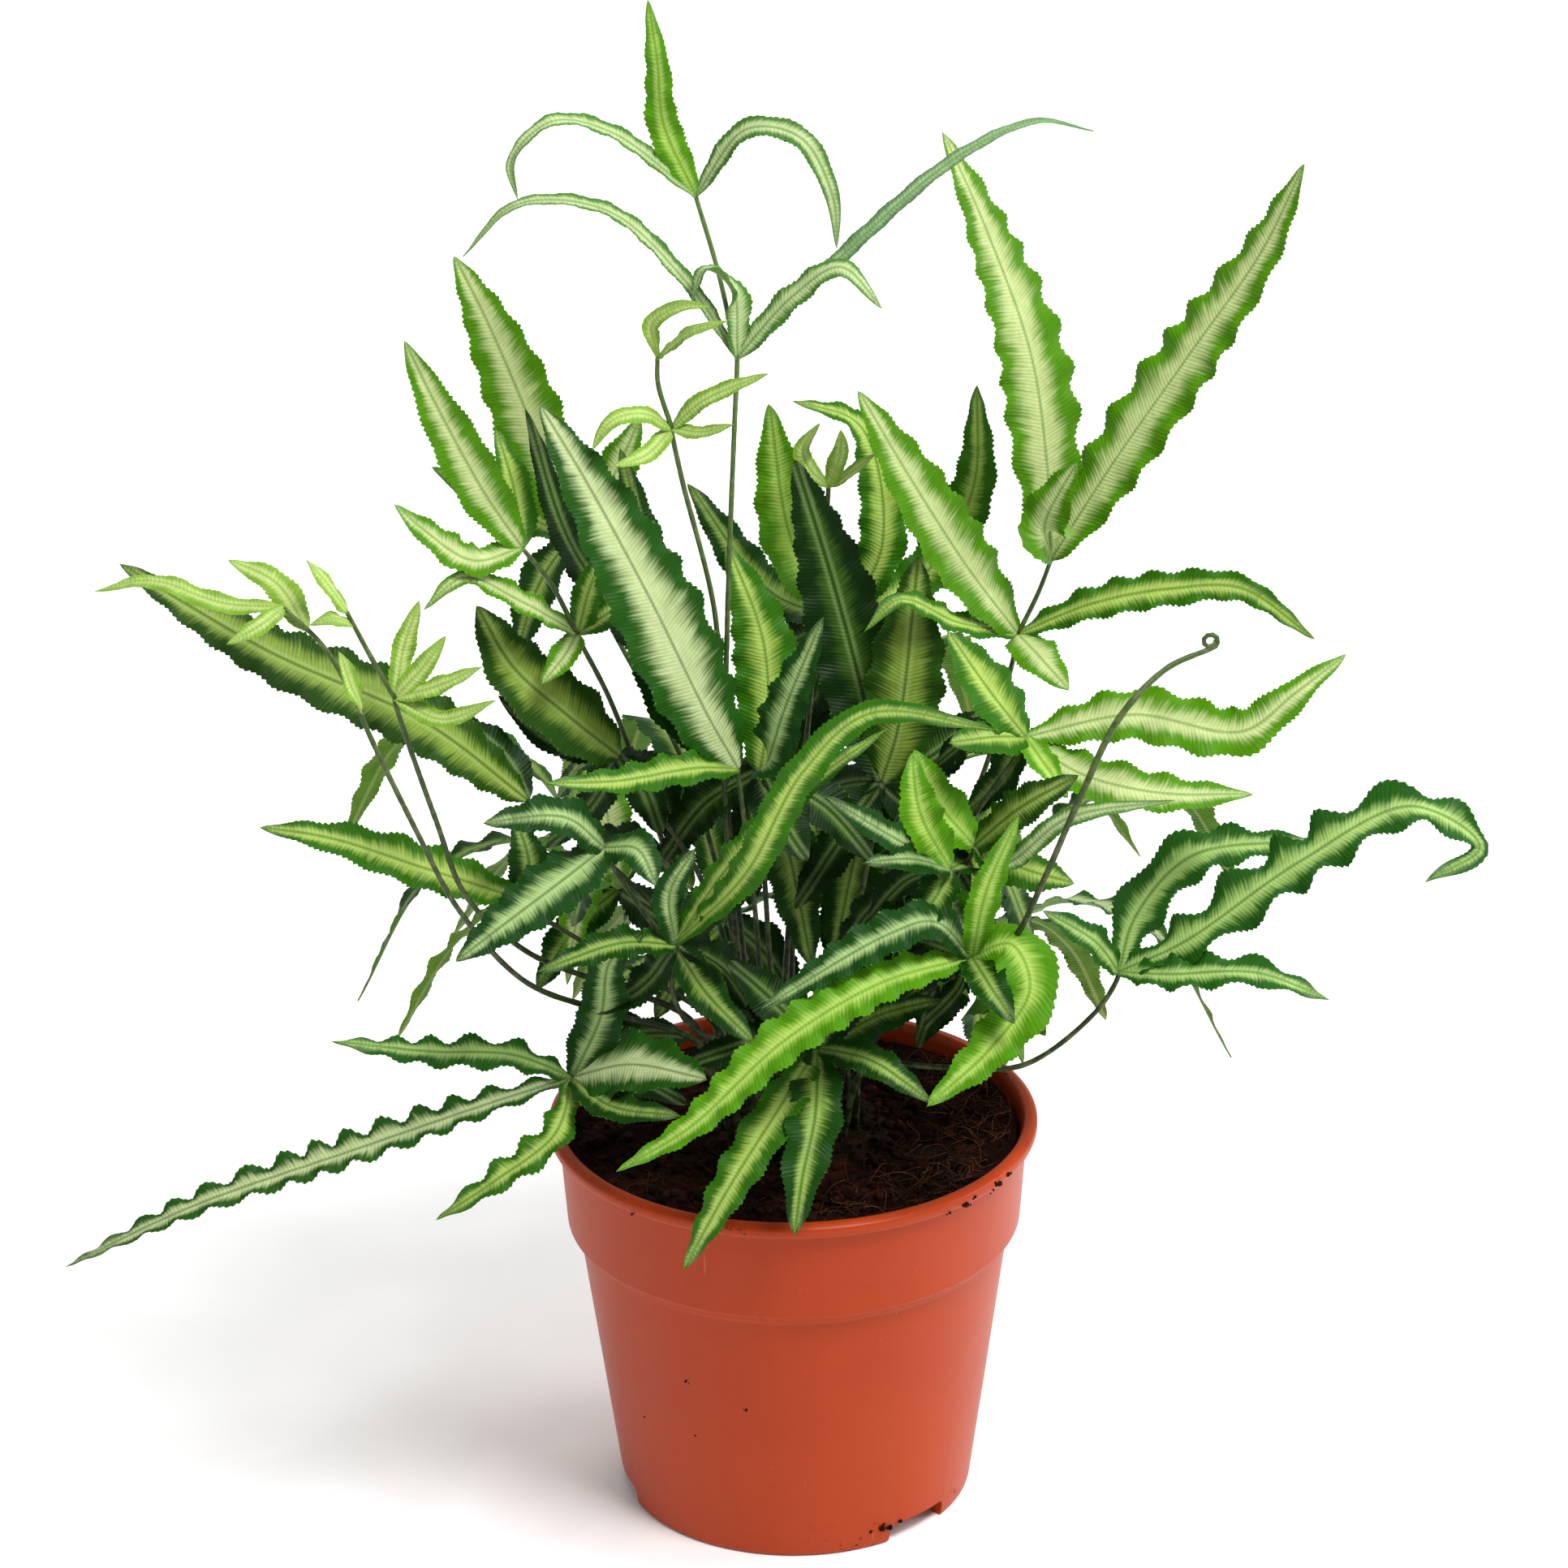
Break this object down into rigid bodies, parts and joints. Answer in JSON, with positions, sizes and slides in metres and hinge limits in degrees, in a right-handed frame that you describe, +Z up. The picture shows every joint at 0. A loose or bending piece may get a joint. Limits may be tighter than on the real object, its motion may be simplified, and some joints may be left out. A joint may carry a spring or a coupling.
{
  "type": "potted fern",
  "caption": "Silver-banded brake fern with ribbon-like leaflets on thin upright stems, growing in soil in a round tapered plastic pot with a deep collar.",
  "frame": {"origin": "centre of the pot's underside, on the surface that the pot stands on", "axes": "+Z up along the pot's axis; -Y is the plant's front; +X is to the right seen from the front"},
  "size_m": [0.3365, 0.1869, 0.38],
  "materials": {
    "terracotta_plastic": "satin terracotta-orange moulded polypropylene, a little dusty with specks of soil",
    "potting_mix": "moist dark brown peat, bark and coir fibre",
    "crown_fibre": "rough brown scales and old stem bases",
    "stipe": "smooth wiry stem, grey-brown below and green above",
    "leaf_blade": "soft satin leaf, green toothed margins round a feathered silver band"
  },
  "bodies": {
    "root": {"pot": "terracotta_plastic", "soil": "potting_mix", "rhizome_crown": "crown_fibre", "crozier": "stipe", "frond_01_stipe": "stipe", "frond_01_blade": "leaf_blade", "frond_02_stipe": "stipe", "frond_02_blade": "leaf_blade", "frond_03_stipe": "stipe", "frond_03_blade": "leaf_blade", "frond_04_stipe": "stipe", "frond_04_blade": "leaf_blade", "frond_05_stipe": "stipe", "frond_05_blade": "leaf_blade", "frond_06_stipe": "stipe", "frond_06_blade": "leaf_blade", "frond_07_stipe": "stipe", "frond_07_blade": "leaf_blade", "frond_08_stipe": "stipe", "frond_08_blade": "leaf_blade", "frond_09_stipe": "stipe", "frond_09_blade": "leaf_blade", "frond_10_stipe": "stipe", "frond_10_blade": "leaf_blade", "frond_11_stipe": "stipe", "frond_11_blade": "leaf_blade", "frond_12_stipe": "stipe", "frond_12_blade": "leaf_blade", "frond_13_stipe": "stipe", "frond_13_blade": "leaf_blade", "frond_14_stipe": "stipe", "frond_14_blade": "leaf_blade", "frond_15_stipe": "stipe", "frond_15_blade": "leaf_blade", "frond_16_stipe": "stipe", "frond_16_blade": "leaf_blade", "frond_17_stipe": "stipe", "frond_17_blade": "leaf_blade", "frond_18_stipe": "stipe", "frond_18_blade": "leaf_blade", "frond_19_stipe": "stipe", "frond_19_blade": "leaf_blade", "frond_20_stipe": "stipe", "frond_20_blade": "leaf_blade", "frond_21_stipe": "stipe", "frond_21_blade": "leaf_blade", "frond_22_stipe": "stipe", "frond_22_blade": "leaf_blade", "frond_23_stipe": "stipe", "frond_23_blade": "leaf_blade", "frond_24_stipe": "stipe", "frond_24_blade": "leaf_blade", "frond_25_stipe": "stipe", "frond_25_blade": "leaf_blade", "frond_26_stipe": "stipe", "frond_26_blade": "leaf_blade", "frond_27_stipe": "stipe", "frond_27_blade": "leaf_blade", "frond_28_stipe": "stipe", "frond_28_blade": "leaf_blade"}
  },
  "joints": []
}
